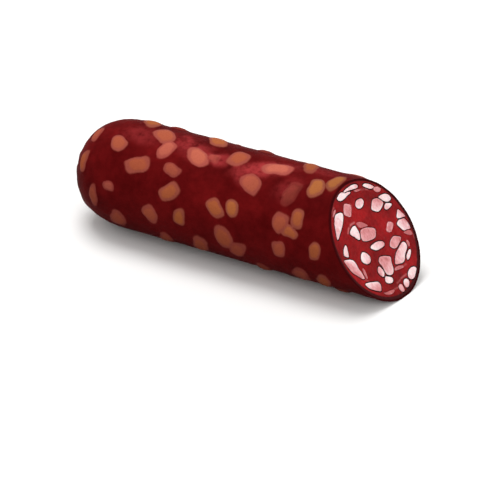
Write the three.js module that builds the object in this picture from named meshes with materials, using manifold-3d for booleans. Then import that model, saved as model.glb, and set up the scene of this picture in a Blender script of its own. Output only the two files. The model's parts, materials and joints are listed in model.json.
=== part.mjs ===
// A dry-cured sausage lying on its side: a large-calibre salami with one rounded, clipped end
// and one end sliced off on a slant. X runs along its axis towards the cut, Z is up, and the
// origin is the middle of the strip that it rests on. Millimetres.
import * as THREE from 'three';
import { mergeVertices } from 'three/addons/utils/BufferGeometryUtils.js';
import Module from 'manifold-3d';

const wasm = await Module();
wasm.setup();

// Driving dimensions
const calibre = 80;            // across the casing
const bodyLength = 237.5;      // tip of the rounded end to the middle of the cut, on the axis
const domeLength = 46;         // the stretch over which the rounded end closes
const domeFullness = 2.3;      // 2 would be an ellipsoid, more is blunter
const cutLean = 31.25;         // degrees that the cut leans back from upright
const cutTurn = -10.4;         // degrees that the cut is turned about the upright
const restWidth = 9;           // the strip pressed flat underneath
const casingWall = 1.2;        // casing with the crust that dried onto it
const rimWidth = 1.2;          // least lean meat between the casing and a piece of fat
const fitGap = 0.3;            // between any two pieces that touch
const recessDepth = 3.5;       // how far the end is drawn in around the clip
const recessRadius = 16;
const neckRadius = 3;          // casing gathered through the clip
const tailRadius = 4.6;        // gathered casing beyond the clip
const tailLength = 3;
const clipWidth = 2.6;
const clipThickness = 1.4;
const bulgeHeight = 1.3;       // lumps of fat lifting the casing
const cornerRadius = 0.75;     // diced fat loses its sharp corners
const aroundSteps = 32;
const alongSteps = 22;
const domeSteps = 11;

const bodyRadius = calibre / 2;
const axisHeight = Math.sqrt(bodyRadius ** 2 - (restWidth / 2) ** 2);
const lean = THREE.MathUtils.degToRad(cutLean);
const turn = THREE.MathUtils.degToRad(cutTurn);

// The cut's own frame: across it, up it and out of it
const outOfCut = new THREE.Vector3(
  Math.cos(lean) * Math.cos(turn), Math.cos(lean) * Math.sin(turn), Math.sin(lean),
);
const acrossCut = new THREE.Vector3(0, 0, 1).cross(outOfCut).normalize();
const upCut = outOfCut.clone().cross(acrossCut);
const cutFrame = new THREE.Matrix4().makeBasis(acrossCut, upCut, outOfCut).setPosition(bodyLength, 0, 0);

// How far the cut's tip goes past its middle
const cutReach = bodyRadius * Math.hypot(outOfCut.y, outOfCut.z) / outOfCut.x;

const finishes = {
  casing: { color: 0x5c1418, roughness: 0.45, metalness: 0 },
  lean: { color: 0x94211f, roughness: 0.5, metalness: 0 },
  white: { color: 0xecd8d5, roughness: 0.4, metalness: 0 },
  pink: { color: 0xe2b0b0, roughness: 0.4, metalness: 0 },
  thin: { color: 0xc48684, roughness: 0.45, metalness: 0 },
  clip: { color: 0xb9bcc0, roughness: 0.35, metalness: 0.9 },
};

// How deep each kind of fat goes into the meat behind the cut
const fatDepth = { white: 8, pink: 6, thin: 3 };

// Fat showing at the cut. Corners are [across, up] on a round section of layoutRadius.
const layoutRadius = 40;
const fatPieces = [
  {
    name: 'crown_left', tone: 'white',
    corners: [[-13.8, 35], [-12.1, 36.2], [-9.7, 36.5], [-6.8, 36.2], [-5.4, 34.6], [-1.9, 34.4],
      [0.9, 33.4], [-0.2, 32.9], [-3.7, 32.7], [-7.5, 32], [-10.6, 31.8], [-12.9, 32.5], [-14, 33.8]],
  },
  {
    name: 'crown_right', tone: 'white',
    corners: [[-5.7, 35.7], [-2.9, 36.4], [0.9, 36.6], [5.3, 36.5], [7.8, 35.9], [9.5, 34.8],
      [9.5, 33.6], [7.9, 33.1], [4.3, 33.8], [0.3, 34.7], [-3.1, 35.1], [-5.3, 35.1]],
  },
  {
    name: 'crown_streak', tone: 'thin',
    corners: [[3.5, 32.9], [6.9, 32.5], [9.9, 31.3], [8.7, 31], [5.3, 31.6]],
  },
  {
    name: 'upper_right', tone: 'white',
    corners: [[13.5, 32.8], [16.1, 33], [18.7, 31.9], [21.1, 30.2], [23, 28.3], [22.7, 27.8],
      [20.5, 27.6], [17.9, 28.7], [15.8, 30.2], [14.1, 31.8]],
  },
  {
    name: 'upper_right_tail', tone: 'pink',
    corners: [[21.5, 27.1], [23.5, 27.7], [26.4, 26.6], [27.8, 25.1], [27.5, 24], [25.8, 23.5],
      [23.3, 24.2], [21.6, 25.7]],
  },
  {
    name: 'left_wedge', tone: 'white',
    corners: [[-24.7, 25.2], [-22.8, 26.8], [-19.6, 26.9], [-16.1, 25.9], [-15.7, 24.6],
      [-17.8, 21.9], [-21.1, 19.1], [-25.8, 16.2], [-30.4, 13.5], [-32.1, 12.9], [-31.5, 14.6],
      [-29.3, 18.8], [-27.2, 22.5]],
  },
  {
    name: 'left_edge', tone: 'thin',
    corners: [[-25.4, 26.7], [-23.5, 28.4], [-21.4, 29.5], [-19.9, 29.7], [-20.9, 28.6],
      [-23.1, 27.5], [-25.1, 26.2]],
  },
  {
    name: 'tilted_square', tone: 'pink',
    corners: [[-10.6, 29.1], [-8.9, 29.1], [-5.6, 27], [-5.4, 26], [-9.9, 20.6], [-11.2, 20.8],
      [-14.3, 23.3], [-14.3, 25]],
  },
  {
    name: 'oval_top', tone: 'white',
    corners: [[2.7, 27.1], [5.6, 26.8], [7.4, 25.9], [7.6, 24.1], [5.6, 22.4], [2.8, 21.4],
      [0.6, 21.7], [-1.4, 23.1], [-1.5, 24.9], [0.4, 26.4]],
  },
  {
    name: 'right_polygon', tone: 'pink',
    corners: [[15, 21.3], [16.8, 21.8], [20.2, 21], [22.6, 18.9], [24, 16.5], [21.3, 15.1],
      [17.9, 13.8], [15.1, 13.7], [13.3, 14.7], [10.8, 16.6], [11.2, 17.9]],
  },
  {
    name: 'right_upper', tone: 'white',
    corners: [[21.7, 21.4], [25.6, 21.3], [29.1, 20.8], [31.6, 19.3], [32.8, 16.5], [31.9, 15.5],
      [29.5, 15.1], [27.1, 15.8], [24.7, 17.5], [23.4, 19.2]],
  },
  {
    name: 'right_small', tone: 'white',
    corners: [[22.6, 13.8], [24.5, 15], [26, 15.4], [28.2, 14.5], [30.6, 13.4], [30.5, 12.4],
      [27.8, 11.8], [25.2, 11.5], [23.4, 11.8], [21.9, 12.7]],
  },
  {
    name: 'left_polygon', tone: 'white',
    corners: [[-18.2, 12.5], [-16, 14.1], [-13.8, 14.7], [-11.4, 14.9], [-10.6, 14.5],
      [-10.5, 12.4], [-10.3, 10], [-11, 7.8], [-12.6, 5.6], [-14, 5.8], [-15.2, 7.6], [-17, 9.9],
      [-18.7, 11.6]],
  },
  {
    name: 'centre_block', tone: 'pink',
    corners: [[-8.4, 10], [-6.5, 10.5], [-1.9, 9.5], [2.1, 7.9], [4.7, 6.3], [4.6, 4.7], [2.3, 2],
      [0.2, 1.4], [-3.4, 1.7], [-7.4, 2.5], [-10.7, 3.7], [-11.1, 5.2], [-10.4, 7.2]],
  },
  {
    name: 'centre_veil', tone: 'thin',
    corners: [[-9.2, 15], [-7.4, 15.4], [-5, 14.8], [-2.4, 12.9], [0, 10.6], [-0.1, 9.9],
      [-2.5, 10.6], [-6.3, 11.5], [-8, 11.8], [-8.3, 13.2]],
  },
  {
    name: 'middle_oblong', tone: 'white',
    corners: [[-7.3, -1.8], [-5.6, -1.3], [-1.9, -1.2], [1.7, -1.5], [4.6, -2.5], [6.5, -4],
      [6.3, -5.5], [4.4, -6.2], [0.6, -6.1], [-2.4, -6], [-4.3, -5.3], [-6.7, -3.6], [-7.5, -2.6]],
  },
  {
    name: 'small_oblong', tone: 'pink',
    corners: [[18.9, 4.8], [20.5, 4.4], [22.7, 2.9], [23, 1.9], [19.7, -0.1], [17, -1.4],
      [15, -0.5], [13.8, 0.9], [15.7, 2.5]],
  },
  {
    name: 'right_edge_top', tone: 'pink',
    corners: [[28.4, 3.7], [31, 6], [33.1, 7.9], [33.9, 7.5], [35.1, 5.2], [36.8, 2.2], [36.6, 1.5],
      [33.9, 2.3], [30.6, 2.8]],
  },
  {
    name: 'right_edge_block', tone: 'white',
    corners: [[26.7, 1.2], [28.9, 2.2], [31.3, 1.7], [35, 1.1], [35.6, -0.1], [36.1, -2.2],
      [36.2, -6.5], [34.9, -6.5], [32.4, -5.8], [28.8, -5.4], [27.9, -4], [26.9, -2], [25.6, 0.1]],
  },
  {
    name: 'right_edge_low', tone: 'thin',
    corners: [[28.1, -6.1], [31.3, -6.4], [34.2, -7.2], [34.8, -8.4], [34.8, -10.3], [32.8, -9.9],
      [30.6, -8.6], [28.4, -6.9]],
  },
  {
    name: 'lower_block', tone: 'pink',
    corners: [[18.2, -4.7], [21.5, -6.3], [23.7, -7.6], [22.2, -8.8], [19.6, -9.9], [16, -11.1],
      [13.8, -11.4], [11.8, -10.6], [10.2, -9.1], [10, -7.9], [11.9, -6.3], [14.5, -5.1],
      [16.8, -4.5]],
  },
  {
    name: 'lower_big', tone: 'white',
    corners: [[6.4, -18.7], [8.8, -16.3], [11.7, -14.1], [15.2, -12.9], [19, -11.6], [22, -10.6],
      [23.7, -10.8], [25, -12], [24.9, -13.9], [23.7, -15.5], [21.1, -16.8], [19, -17.8],
      [16.9, -20.2], [15.4, -21.2], [13.5, -21.6], [11.5, -21.1], [8.3, -20.5], [6.1, -19.6]],
  },
  {
    name: 'lower_narrow', tone: 'white',
    corners: [[18.2, -21.3], [19.5, -19.4], [22, -18.1], [24.5, -17], [26.1, -17.1], [25.9, -18.1],
      [24.2, -19.8], [21.4, -21.4], [19.1, -22.2]],
  },
  {
    name: 'lower_strip', tone: 'thin',
    corners: [[3, -22.4], [4.8, -21.2], [8.1, -21.6], [11.4, -22.5], [12.4, -23.5], [11.3, -24.2],
      [8, -23.5], [4.4, -23.1]],
  },
  {
    name: 'lower_sliver', tone: 'thin',
    corners: [[26.5, -11.4], [27.8, -11.4], [28, -13], [27.5, -14.7], [25.8, -15.7], [25.9, -14],
      [26, -12.6]],
  },
  {
    name: 'heart_block', tone: 'pink',
    corners: [[-6, -11.2], [-4.3, -10.3], [-2.2, -10.4], [1.3, -11.7], [5.1, -13.6], [5.2, -14.7],
      [3.9, -16.7], [3, -19.5], [2, -21.9], [0.1, -23.4], [-1.5, -23.7], [-3.9, -22.7],
      [-5.6, -21.4], [-5.8, -19.5], [-5.4, -17.3], [-6, -14.7], [-7, -13]],
  },
  {
    name: 'heart_left', tone: 'white',
    corners: [[-11.3, -15.9], [-9.7, -14.7], [-8.3, -14.8], [-7.6, -16.5], [-6.8, -18.6],
      [-7.2, -20.3], [-8.7, -21.6], [-9.8, -21.8], [-11.3, -20.4], [-12, -18.5], [-12.2, -17]],
  },
  {
    name: 'heart_foot', tone: 'white',
    corners: [[-8.5, -22.6], [-7.4, -22.1], [-5.2, -23.5], [-2.7, -24.9], [-2.6, -26.5],
      [-4, -27.8], [-6, -27.8], [-8.8, -26.7], [-10, -25.2], [-9.8, -23.9]],
  },
  {
    name: 'oval_left', tone: 'white',
    corners: [[-17.2, -1.6], [-15.7, -1.7], [-13.4, -3.5], [-12.1, -6], [-12.5, -8.3],
      [-13.8, -9.3], [-16.5, -9.8], [-18.9, -8.8], [-20.6, -7.1], [-20.9, -4.9], [-19.3, -3]],
  },
  {
    name: 'left_tooth', tone: 'white',
    corners: [[-32.8, 4], [-30.8, 6.5], [-28.3, 7.9], [-27.1, 8], [-27, 6.7], [-28.3, 4],
      [-29.8, 0.8], [-30.9, 0.7], [-32.3, 2], [-33.4, 2.9]],
  },
  {
    name: 'left_band', tone: 'pink',
    corners: [[-35.7, 0.7], [-33, 0], [-29.7, -1.1], [-27.5, -3.1], [-27, -5.9], [-27.2, -8.6],
      [-26.4, -10.6], [-26.2, -13], [-26, -15.5], [-27.2, -16.2], [-29.4, -13.8], [-31.9, -10.9],
      [-33.9, -7.9], [-34.8, -5], [-35.6, -1.9]],
  },
  {
    name: 'left_fleck', tone: 'thin',
    corners: [[-23.5, -9.9], [-22.5, -10.4], [-22.9, -12.6], [-23.3, -15.3], [-23.7, -17.1],
      [-24.8, -16.5], [-24.8, -14.2], [-24.4, -11.6]],
  },
  {
    name: 'bottom_left', tone: 'white',
    corners: [[-28.5, -18.6], [-25.5, -19], [-21.8, -20.3], [-17.4, -21.7], [-15.9, -22.7],
      [-15.5, -25.4], [-17.4, -28.1], [-18.8, -28.1], [-21.8, -26.2], [-24.8, -24.2],
      [-26.9, -22.2], [-28.2, -20.1]],
  },
  {
    name: 'bottom_streak', tone: 'thin',
    corners: [[-16.8, -29.8], [-13.6, -31], [-9.2, -31.4], [-5.8, -32.1], [-8.2, -33.5],
      [-11.6, -33.2], [-14.7, -32]],
  },
  {
    name: 'bottom_bead', tone: 'thin',
    corners: [[-1.4, -32.7], [0, -31.6], [2, -31.7], [2.5, -33], [2.5, -34.8], [2.3, -36.2],
      [1.2, -36.9], [-0.4, -36], [-1.2, -34.2]],
  },
  {
    name: 'bottom_round', tone: 'white',
    corners: [[4.7, -32.1], [6.3, -30.8], [8.5, -30.5], [10.1, -31.5], [10.4, -33], [9.2, -34.9],
      [7.2, -36], [5.1, -35.7], [4.3, -34.3]],
  },
  {
    name: 'bottom_right', tone: 'white',
    corners: [[12.4, -29.2], [14.6, -27.7], [17.3, -27], [20, -27.1], [22.3, -28.1], [22.8, -29.8],
      [21, -31.5], [17.9, -32.9], [14.9, -33.6], [12.8, -33.1], [11.6, -31.4]],
  },
];

// Fat pressing against the casing, on a body of layoutLength:
// [mm back from the cut, degrees up from the -Y side, mm long, degrees round]
const layoutLength = 237.5;
const fatUnderCasing = [
  [208, -2, 8, 24], [189, -26, 14, 24], [219, 30, 12, 20], [217, 70, 12, 20], [193, 15, 8, 14],
  [185, 117, 15, 22], [168, 88, 14, 20], [161, 70, 14, 22], [132, 100, 15, 22], [135, 70, 19, 18],
  [106, 82, 14, 22], [75, 84, 20, 16], [86, 55, 16, 17], [57, 108, 10, 30], [41, 72, 12, 24],
  [31, 85, 7, 26], [45, 35, 9, 18], [57, 26, 12, 20], [48, 20, 11, 12], [95, 27, 9, 18],
  [107, 22, 11, 19], [100, -10, 13, 26], [90, -20, 13, 22], [56, -3, 10, 17], [28, 6, 9, 20],
  [42, -35, 13, 28], [25, -35, 10, 28], [122, -32, 12, 36],
];
const backLumps = 26;          // the same kind of lumps, spread evenly over the far side
const backFirst = 26;          // mm back from the cut
const backSpacing = 7.4;
const backFrom = 128;          // degrees up from the -Y side, and over the top
const backSpan = 190;
const goldenShare = 0.618;
for (let lump = 0; lump < backLumps; lump++) {
  const round = backFrom + backSpan * ((lump * goldenShare) % 1);
  fatUnderCasing.push([backFirst + lump * backSpacing, round, 11 + 2 * (lump % 4), 19 + 3 * (lump % 3)]);
}

function bulge(station, degrees) {
  const stretch = bodyLength / layoutLength;
  let rise = 0;
  for (const [back, round, length, spread] of fatUnderCasing) {
    const along = (station - (bodyLength - back * stretch)) / (length * stretch / 2);
    const around = ((((degrees - round) % 360) + 540) % 360 - 180) / (spread / 2);
    const nearness = Math.max(0, 1 - along ** 2 - around ** 2);
    rise = Math.max(rise, bulgeHeight * Math.sqrt(nearness));
  }
  return rise;
}

// Station of the rounded end's surface at a radius, drawn in towards the clip
function recess(radius) {
  return radius < recessRadius ? recessDepth * (1 - (radius / recessRadius) ** 2) ** 2 : 0;
}

function domeStation(radius, inset = 0) {
  const share = Math.min(1, radius / (bodyRadius - inset)) ** domeFullness;
  return domeLength - (domeLength - inset) * (1 - share) ** (1 / domeFullness) + recess(radius);
}

const clipInner = neckRadius + fitGap;
const clipOuter = clipInner + clipThickness;
const clipSeat = domeStation(clipOuter) - fitGap;          // side of the clip that faces the sausage
const tailStart = clipSeat - clipWidth - fitGap;
const tailTip = tailStart - tailLength;

// Gathered casing through the clip and its short tail
function neckProfile() {
  return [
    new THREE.Vector2(0, tailTip),
    new THREE.Vector2(tailRadius * 0.8, tailTip),
    new THREE.Vector2(tailRadius, tailTip + tailLength * 0.4),
    new THREE.Vector2(neckRadius, tailStart),
    new THREE.Vector2(neckRadius, domeStation(neckRadius)),
  ];
}

// Solid body of the sausage, inset from the casing's outside and longer than the cut needs
function bodyGeometry(inset, withNeck = false) {
  const radius = bodyRadius - inset;
  const blankLength = bodyLength + 2 * cutReach;
  const profile = withNeck ? neckProfile() : [new THREE.Vector2(0, domeStation(0, inset))];
  for (let step = 1; step <= domeSteps; step++) {
    const swing = (step / domeSteps) * Math.PI / 2;
    const share = Math.sin(swing) ** (2 / domeFullness);
    const ring = radius * share;
    if (bodyRadius * share > clipOuter) profile.push(new THREE.Vector2(ring, domeStation(ring, inset)));
  }
  for (let step = 1; step <= alongSteps; step++) {
    profile.push(new THREE.Vector2(radius, domeLength + (blankLength - domeLength) * step / alongSteps));
  }
  profile.push(new THREE.Vector2(0, blankLength));
  const halfStep = Math.PI / aroundSteps;          // a flat facet, not an edge, faces down
  const geometry = new THREE.LatheGeometry(profile, aroundSteps, halfStep).rotateZ(-Math.PI / 2);
  settle(geometry, inset);
  return geometry;
}

// Lifts the skin over the lumps of fat and presses the underside flat. Every inset of the body
// is lifted as much as the casing's outside is there, so that walls and gaps keep their width.
function settle(geometry, inset) {
  const position = geometry.attributes.position;
  const domeScale = domeLength / (domeLength - inset);
  const point = new THREE.Vector3();
  const outward = new THREE.Vector3();
  for (let i = 0; i < position.count; i++) {
    point.fromBufferAttribute(position, i);
    const degrees = THREE.MathUtils.radToDeg(Math.atan2(point.z, -point.y));
    const pastDome = point.x - domeLength;
    const skinStation = pastDome < 0 ? domeLength + pastDome * domeScale : point.x;
    outward.set(Math.min(pastDome, 0), point.y, point.z).normalize();
    point.addScaledVector(outward, bulge(skinStation, degrees));
    point.z = Math.max(point.z, inset - axisHeight);
    position.setXYZ(i, point.x, point.y, point.z);
  }
}

function toSolid(geometry) {
  const bare = geometry.clone();
  bare.deleteAttribute('normal');
  bare.deleteAttribute('uv');
  const merged = mergeVertices(bare);
  const corners = merged.index.array;
  const triVerts = [];
  for (let i = 0; i < corners.length; i += 3) {
    const [a, b, c] = corners.slice(i, i + 3);
    if (a !== b && b !== c && c !== a) triVerts.push(a, b, c);
  }
  const mesh = new wasm.Mesh({
    numProp: 3,
    vertProperties: merged.attributes.position.array,
    triVerts: new Uint32Array(triVerts),
  });
  return new wasm.Manifold(mesh);
}

function toMesh(name, solid, finish) {
  const { vertProperties, triVerts } = solid.getMesh();
  const geometry = new THREE.BufferGeometry();
  geometry.setAttribute('position', new THREE.BufferAttribute(vertProperties, 3));
  geometry.setIndex(new THREE.BufferAttribute(triVerts, 1));
  geometry.computeVertexNormals();
  const mesh = new THREE.Mesh(geometry, new THREE.MeshStandardMaterial(finish));
  mesh.name = name;
  return mesh;
}

// A place on the round section, carried along the axis onto the cut
function onCut([across, up]) {
  const scale = bodyRadius / layoutRadius;
  const y = across * scale;
  const z = up * scale;
  const place = new THREE.Vector3(-(outOfCut.y * y + outOfCut.z * z) / outOfCut.x, y, z);
  return new THREE.Vector2(place.dot(acrossCut), place.dot(upCut));
}

// Outline of a piece of fat with its corners taken off
function fatOutline(corners) {
  const places = corners.map(onCut);
  const shape = new THREE.Shape();
  places.forEach((corner, i) => {
    const before = places.at(i - 1);
    const after = places[(i + 1) % places.length];
    const start = corner.clone().lerp(before, Math.min(0.4, cornerRadius / corner.distanceTo(before)));
    const end = corner.clone().lerp(after, Math.min(0.4, cornerRadius / corner.distanceTo(after)));
    if (i === 0) shape.moveTo(start.x, start.y);
    else shape.lineTo(start.x, start.y);
    shape.quadraticCurveTo(corner.x, corner.y, end.x, end.y);
  });
  shape.closePath();
  return shape;
}

function fatBlock(shape, depth) {
  const block = new THREE.ExtrudeGeometry(shape, { depth, bevelEnabled: false, curveSegments: 1 });
  return toSolid(block.translate(0, 0, -depth));
}

// The hollow that a piece sits in: larger by the gap all round, and open through the cut
function fatPocket(shape, depth) {
  const pocket = new THREE.ExtrudeGeometry(shape, {
    depth: depth + calibre / 10,
    bevelThickness: fitGap,
    bevelSize: fitGap,
    bevelSegments: 1,
    curveSegments: 1,
  });
  return toSolid(pocket.translate(0, 0, -depth));
}

const ontoCut = cutFrame.clone().invert();
const cutBlock = new THREE.BoxGeometry(4 * calibre, 4 * calibre, 2 * calibre).translate(0, 0, calibre);
const offcut = toSolid(cutBlock.applyMatrix4(cutFrame));
const fatInset = casingWall + fitGap + rimWidth;
const fatRoom = toSolid(bodyGeometry(fatInset).applyMatrix4(ontoCut));
const pocketRoom = toSolid(bodyGeometry(fatInset - fitGap));

const sausage = new THREE.Group();
sausage.position.set(-(bodyLength + cutReach + tailTip) / 2, 0, axisHeight);

const cutFace = new THREE.Group();
cutFace.applyMatrix4(cutFrame);
sausage.add(cutFace);

let filling = toSolid(bodyGeometry(casingWall + fitGap)).subtract(offcut);
let taken = null;
for (const { name, tone, corners } of fatPieces) {
  const shape = fatOutline(corners);
  let block = fatBlock(shape, fatDepth[tone]).intersect(fatRoom);
  if (taken) block = block.subtract(taken);
  const pocket = fatPocket(shape, fatDepth[tone]);
  taken = taken ? taken.add(pocket) : pocket;
  cutFace.add(toMesh(`fat_${name}`, block, finishes[tone]));
}
const pockets = taken.transform(cutFrame.toArray()).intersect(pocketRoom);
filling = filling.subtract(pockets);
sausage.add(toMesh('filling', filling, finishes.lean));

const casing = toSolid(bodyGeometry(0, true)).subtract(toSolid(bodyGeometry(casingWall))).subtract(offcut);
sausage.add(toMesh('casing', casing, finishes.casing));

// Crimped metal clip round the gathered casing
function clipGeometry() {
  const half = clipWidth / 2;
  const edge = clipThickness * 0.3;
  const profile = [
    new THREE.Vector2(clipInner, -half + edge),
    new THREE.Vector2(clipInner + edge, -half),
    new THREE.Vector2(clipOuter - edge, -half),
    new THREE.Vector2(clipOuter, -half + edge),
    new THREE.Vector2(clipOuter, half - edge),
    new THREE.Vector2(clipOuter - edge, half),
    new THREE.Vector2(clipInner + edge, half),
    new THREE.Vector2(clipInner, half - edge),
    new THREE.Vector2(clipInner, -half + edge),
  ];
  return new THREE.LatheGeometry(profile, aroundSteps);
}

const endClip = new THREE.Mesh(clipGeometry(), new THREE.MeshStandardMaterial(finishes.clip));
endClip.name = 'end_clip';
endClip.rotation.z = -Math.PI / 2;
endClip.position.x = clipSeat - clipWidth / 2;
sausage.add(endClip);

export default sausage;
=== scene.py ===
import json
import math
import random

import bpy
import numpy as np
from mathutils import Matrix, Vector, kdtree, noise


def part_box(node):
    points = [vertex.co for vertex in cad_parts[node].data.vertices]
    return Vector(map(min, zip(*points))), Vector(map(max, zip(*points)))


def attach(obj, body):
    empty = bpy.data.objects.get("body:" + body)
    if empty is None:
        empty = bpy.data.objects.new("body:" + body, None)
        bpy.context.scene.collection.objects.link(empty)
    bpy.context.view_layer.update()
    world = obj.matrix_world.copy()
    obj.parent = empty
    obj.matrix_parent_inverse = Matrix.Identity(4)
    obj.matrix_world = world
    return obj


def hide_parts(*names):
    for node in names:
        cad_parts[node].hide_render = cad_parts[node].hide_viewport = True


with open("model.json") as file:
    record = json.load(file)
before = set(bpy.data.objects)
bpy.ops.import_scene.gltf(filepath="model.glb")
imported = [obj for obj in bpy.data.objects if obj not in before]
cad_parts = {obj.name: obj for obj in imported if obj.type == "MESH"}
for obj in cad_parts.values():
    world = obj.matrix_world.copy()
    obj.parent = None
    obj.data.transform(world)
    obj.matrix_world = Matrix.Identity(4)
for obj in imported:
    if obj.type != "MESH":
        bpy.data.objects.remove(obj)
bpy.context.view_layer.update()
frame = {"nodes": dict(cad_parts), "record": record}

mm = 0.001

# A cured sausage lying on its side, sliced on a slant. Everything hangs on these sizes, in metres.
sausage = {
    "radius": 40 * mm,
    "bodyLength": 237.5 * mm,      # rounded end to the middle of the cut
    "domeLength": 46 * mm,
    "domeFullness": 2.3,           # 2 is an ellipsoid, more is blunter
    "restWidth": 9 * mm,           # strip pressed flat underneath
    "wall": 1.2 * mm,
    "cutLean": 31.25,              # degrees back from upright
    "cutTurn": -10.4,              # degrees round from straight across
    "recessDepth": 3.5 * mm,       # the end is drawn in around the clip
    "recessRadius": 16 * mm,
    "neckRadius": 3 * mm,
    "tailRadius": 4.6 * mm,        # the knob of casing past the clip
}
radius = sausage["radius"]
axisHeight = math.sqrt(radius ** 2 - (sausage["restWidth"] / 2) ** 2)
lean = math.radians(sausage["cutLean"])
turn = math.radians(sausage["cutTurn"])
outOfCut = Vector((math.cos(lean) * math.cos(turn), math.cos(lean) * math.sin(turn), math.sin(lean)))
acrossCut = Vector((0, 0, 1)).cross(outOfCut).normalized()
upCut = outOfCut.cross(acrossCut)
cutReach = radius * math.hypot(outOfCut.y, outOfCut.z) / outOfCut.x
casingLow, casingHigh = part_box("casing")
cutCentre = Vector((casingHigh[0] - cutReach, 0, axisHeight))
poleX = cutCentre.x - sausage["bodyLength"]      # where the rounded end would close if it weren't drawn in
clipLow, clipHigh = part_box("end_clip")
tailX = casingLow[0]

# Scene: floor, light and camera
room = {
    "floorSize": 6.0,
    "floorColour": (0.86, 0.855, 0.85),
    "floorRoughness": 0.75,
    "floorSpecular": 0.2,
    "air": (1.0, 0.99, 0.98),
    "airStrength": 0.8,
}
lights = {
    "windowLight": {"spot": (-0.3, 0.05, 1.2), "aim": (-0.02, 0, 0.04), "size": 0.7, "power": 8.8},
    "cutLight": {"spot": (1.1, -0.5, 0.75), "aim": (0.1, 0, 0.04), "size": 0.6, "power": 3.2},
    "backLight": {"spot": (-0.2, 0.9, 0.7), "aim": (0, 0, 0.04), "size": 0.6, "power": 0.9},
}


def makeStage():
    bpy.ops.mesh.primitive_plane_add(size=room["floorSize"], location=(0, 0, 0))
    floor = bpy.context.object
    floor.name = "floor"
    paper = bpy.data.materials.new("paleFloor")
    paper.use_nodes = True
    shader = paper.node_tree.nodes["Principled BSDF"]
    shader.inputs["Base Color"].default_value = (*room["floorColour"], 1)
    shader.inputs["Roughness"].default_value = room["floorRoughness"]
    shader.inputs["Specular IOR Level"].default_value = room["floorSpecular"]
    floor.data.materials.append(paper)

    world = bpy.data.worlds.new("softRoom")
    bpy.context.scene.world = world
    world.use_nodes = True
    sky = world.node_tree.nodes["Background"]
    sky.inputs["Color"].default_value = (*room["air"], 1)
    sky.inputs["Strength"].default_value = room["airStrength"]


def addLight(name, setting):
    bpy.ops.object.light_add(type="AREA", location=setting["spot"])
    lamp = bpy.context.object
    lamp.name = name
    lamp.data.shape = "DISK"
    lamp.data.size = setting["size"]
    lamp.data.energy = setting["power"]
    towards = Vector(setting["aim"]) - Vector(setting["spot"])
    lamp.rotation_euler = towards.to_track_quat("-Z", "Y").to_euler()


camera = {
    "azimuth": 28.1,               # degrees round from straight in front
    "elevation": 32.0,
    "distance": 2.0,
    "lens": 200,
    "seesTo": 20,
    "aside": 16.5 * mm,            # camera moved right and down so that the sausage sits up and left
    "lower": 36.8 * mm,
}


def addCamera():
    azimuth = math.radians(camera["azimuth"])
    elevation = math.radians(camera["elevation"])
    flat = math.cos(elevation)
    back = Vector((math.sin(azimuth) * flat, -math.cos(azimuth) * flat, math.sin(elevation)))
    right = Vector((math.cos(azimuth), math.sin(azimuth), 0))
    up = back.cross(right)
    target = Vector((cutCentre.x - sausage["bodyLength"] / 2, 0, radius))
    target += right * camera["aside"] - up * camera["lower"]
    bpy.ops.object.camera_add(location=target + back * camera["distance"])
    eye = bpy.context.object
    eye.rotation_euler = Matrix((right, up, back)).transposed().to_euler()
    eye.data.lens = camera["lens"]
    eye.data.clip_end = camera["seesTo"]
    bpy.context.scene.camera = eye


makeStage()
for lightName, lightSetting in lights.items():
    addLight(lightName, lightSetting)
addCamera()
bpy.context.scene.view_settings.view_transform = "Standard"
print("stage, lights and camera placed")


# Helpers used by the pieces
def startClean():
    if bpy.context.object and bpy.context.object.mode != "OBJECT":
        bpy.ops.object.mode_set(mode="OBJECT")
    bpy.ops.object.select_all(action="DESELECT")


def activate(piece):
    startClean()
    piece.select_set(True)
    bpy.context.view_layer.objects.active = piece


def readPoints(piece):
    flat = np.empty(len(piece.data.vertices) * 3)
    piece.data.vertices.foreach_get("co", flat)
    return flat.reshape(-1, 3)


def writePoints(piece, points):
    piece.data.vertices.foreach_set("co", np.ascontiguousarray(points).ravel())
    piece.data.update()


def writeAttribute(piece, name, values):
    layer = piece.data.attributes.new(name, "FLOAT", "POINT")
    layer.data.foreach_set("value", np.ascontiguousarray(values, dtype=np.float32))


def noiseAt(points, scale, offset=0.0):
    shift = Vector((offset, -offset, 2 * offset))
    return np.array([noise.noise(Vector(p) * scale + shift) for p in points])


def smooth(low, high, values):
    share = np.clip((values - low) / (high - low), 0, 1)
    return share * share * (3 - 2 * share)


def copyNode(node, name, mergeGap):
    source = frame["nodes"][node]
    piece = source.copy()
    piece.data = source.data.copy()
    piece.name = name
    bpy.context.collection.objects.link(piece)
    activate(piece)
    bpy.ops.object.mode_set(mode="EDIT")
    bpy.ops.mesh.select_all(action="SELECT")
    bpy.ops.mesh.remove_doubles(threshold=mergeGap)
    return piece


def finishPiece(piece, nodes, material):
    piece.data.materials.clear()
    piece.data.materials.append(material)
    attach(piece, "root")
    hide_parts(*nodes)


def recess(ring):
    share = min(1, ring / sausage["recessRadius"])
    return sausage["recessDepth"] * (1 - share ** 2) ** 2


def domeX(ring, inset=0.0):
    dome = sausage["domeLength"]
    full = sausage["domeFullness"]
    share = min(1, ring / (radius - inset)) ** full
    return poleX + dome - (dome - inset) * (1 - share) ** (1 / full) + recess(ring)


def domeRing(x):
    dome = sausage["domeLength"]
    full = sausage["domeFullness"]
    depth = min(1, max(0, (poleX + dome - x) / dome))
    return radius * (1 - depth ** full) ** (1 / full)


# Node helpers for the materials
def newMaterial(name):
    material = bpy.data.materials.new(name)
    material.use_nodes = True
    nodes = material.node_tree.nodes
    links = material.node_tree.links
    return material, nodes, links, nodes["Principled BSDF"]


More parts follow.
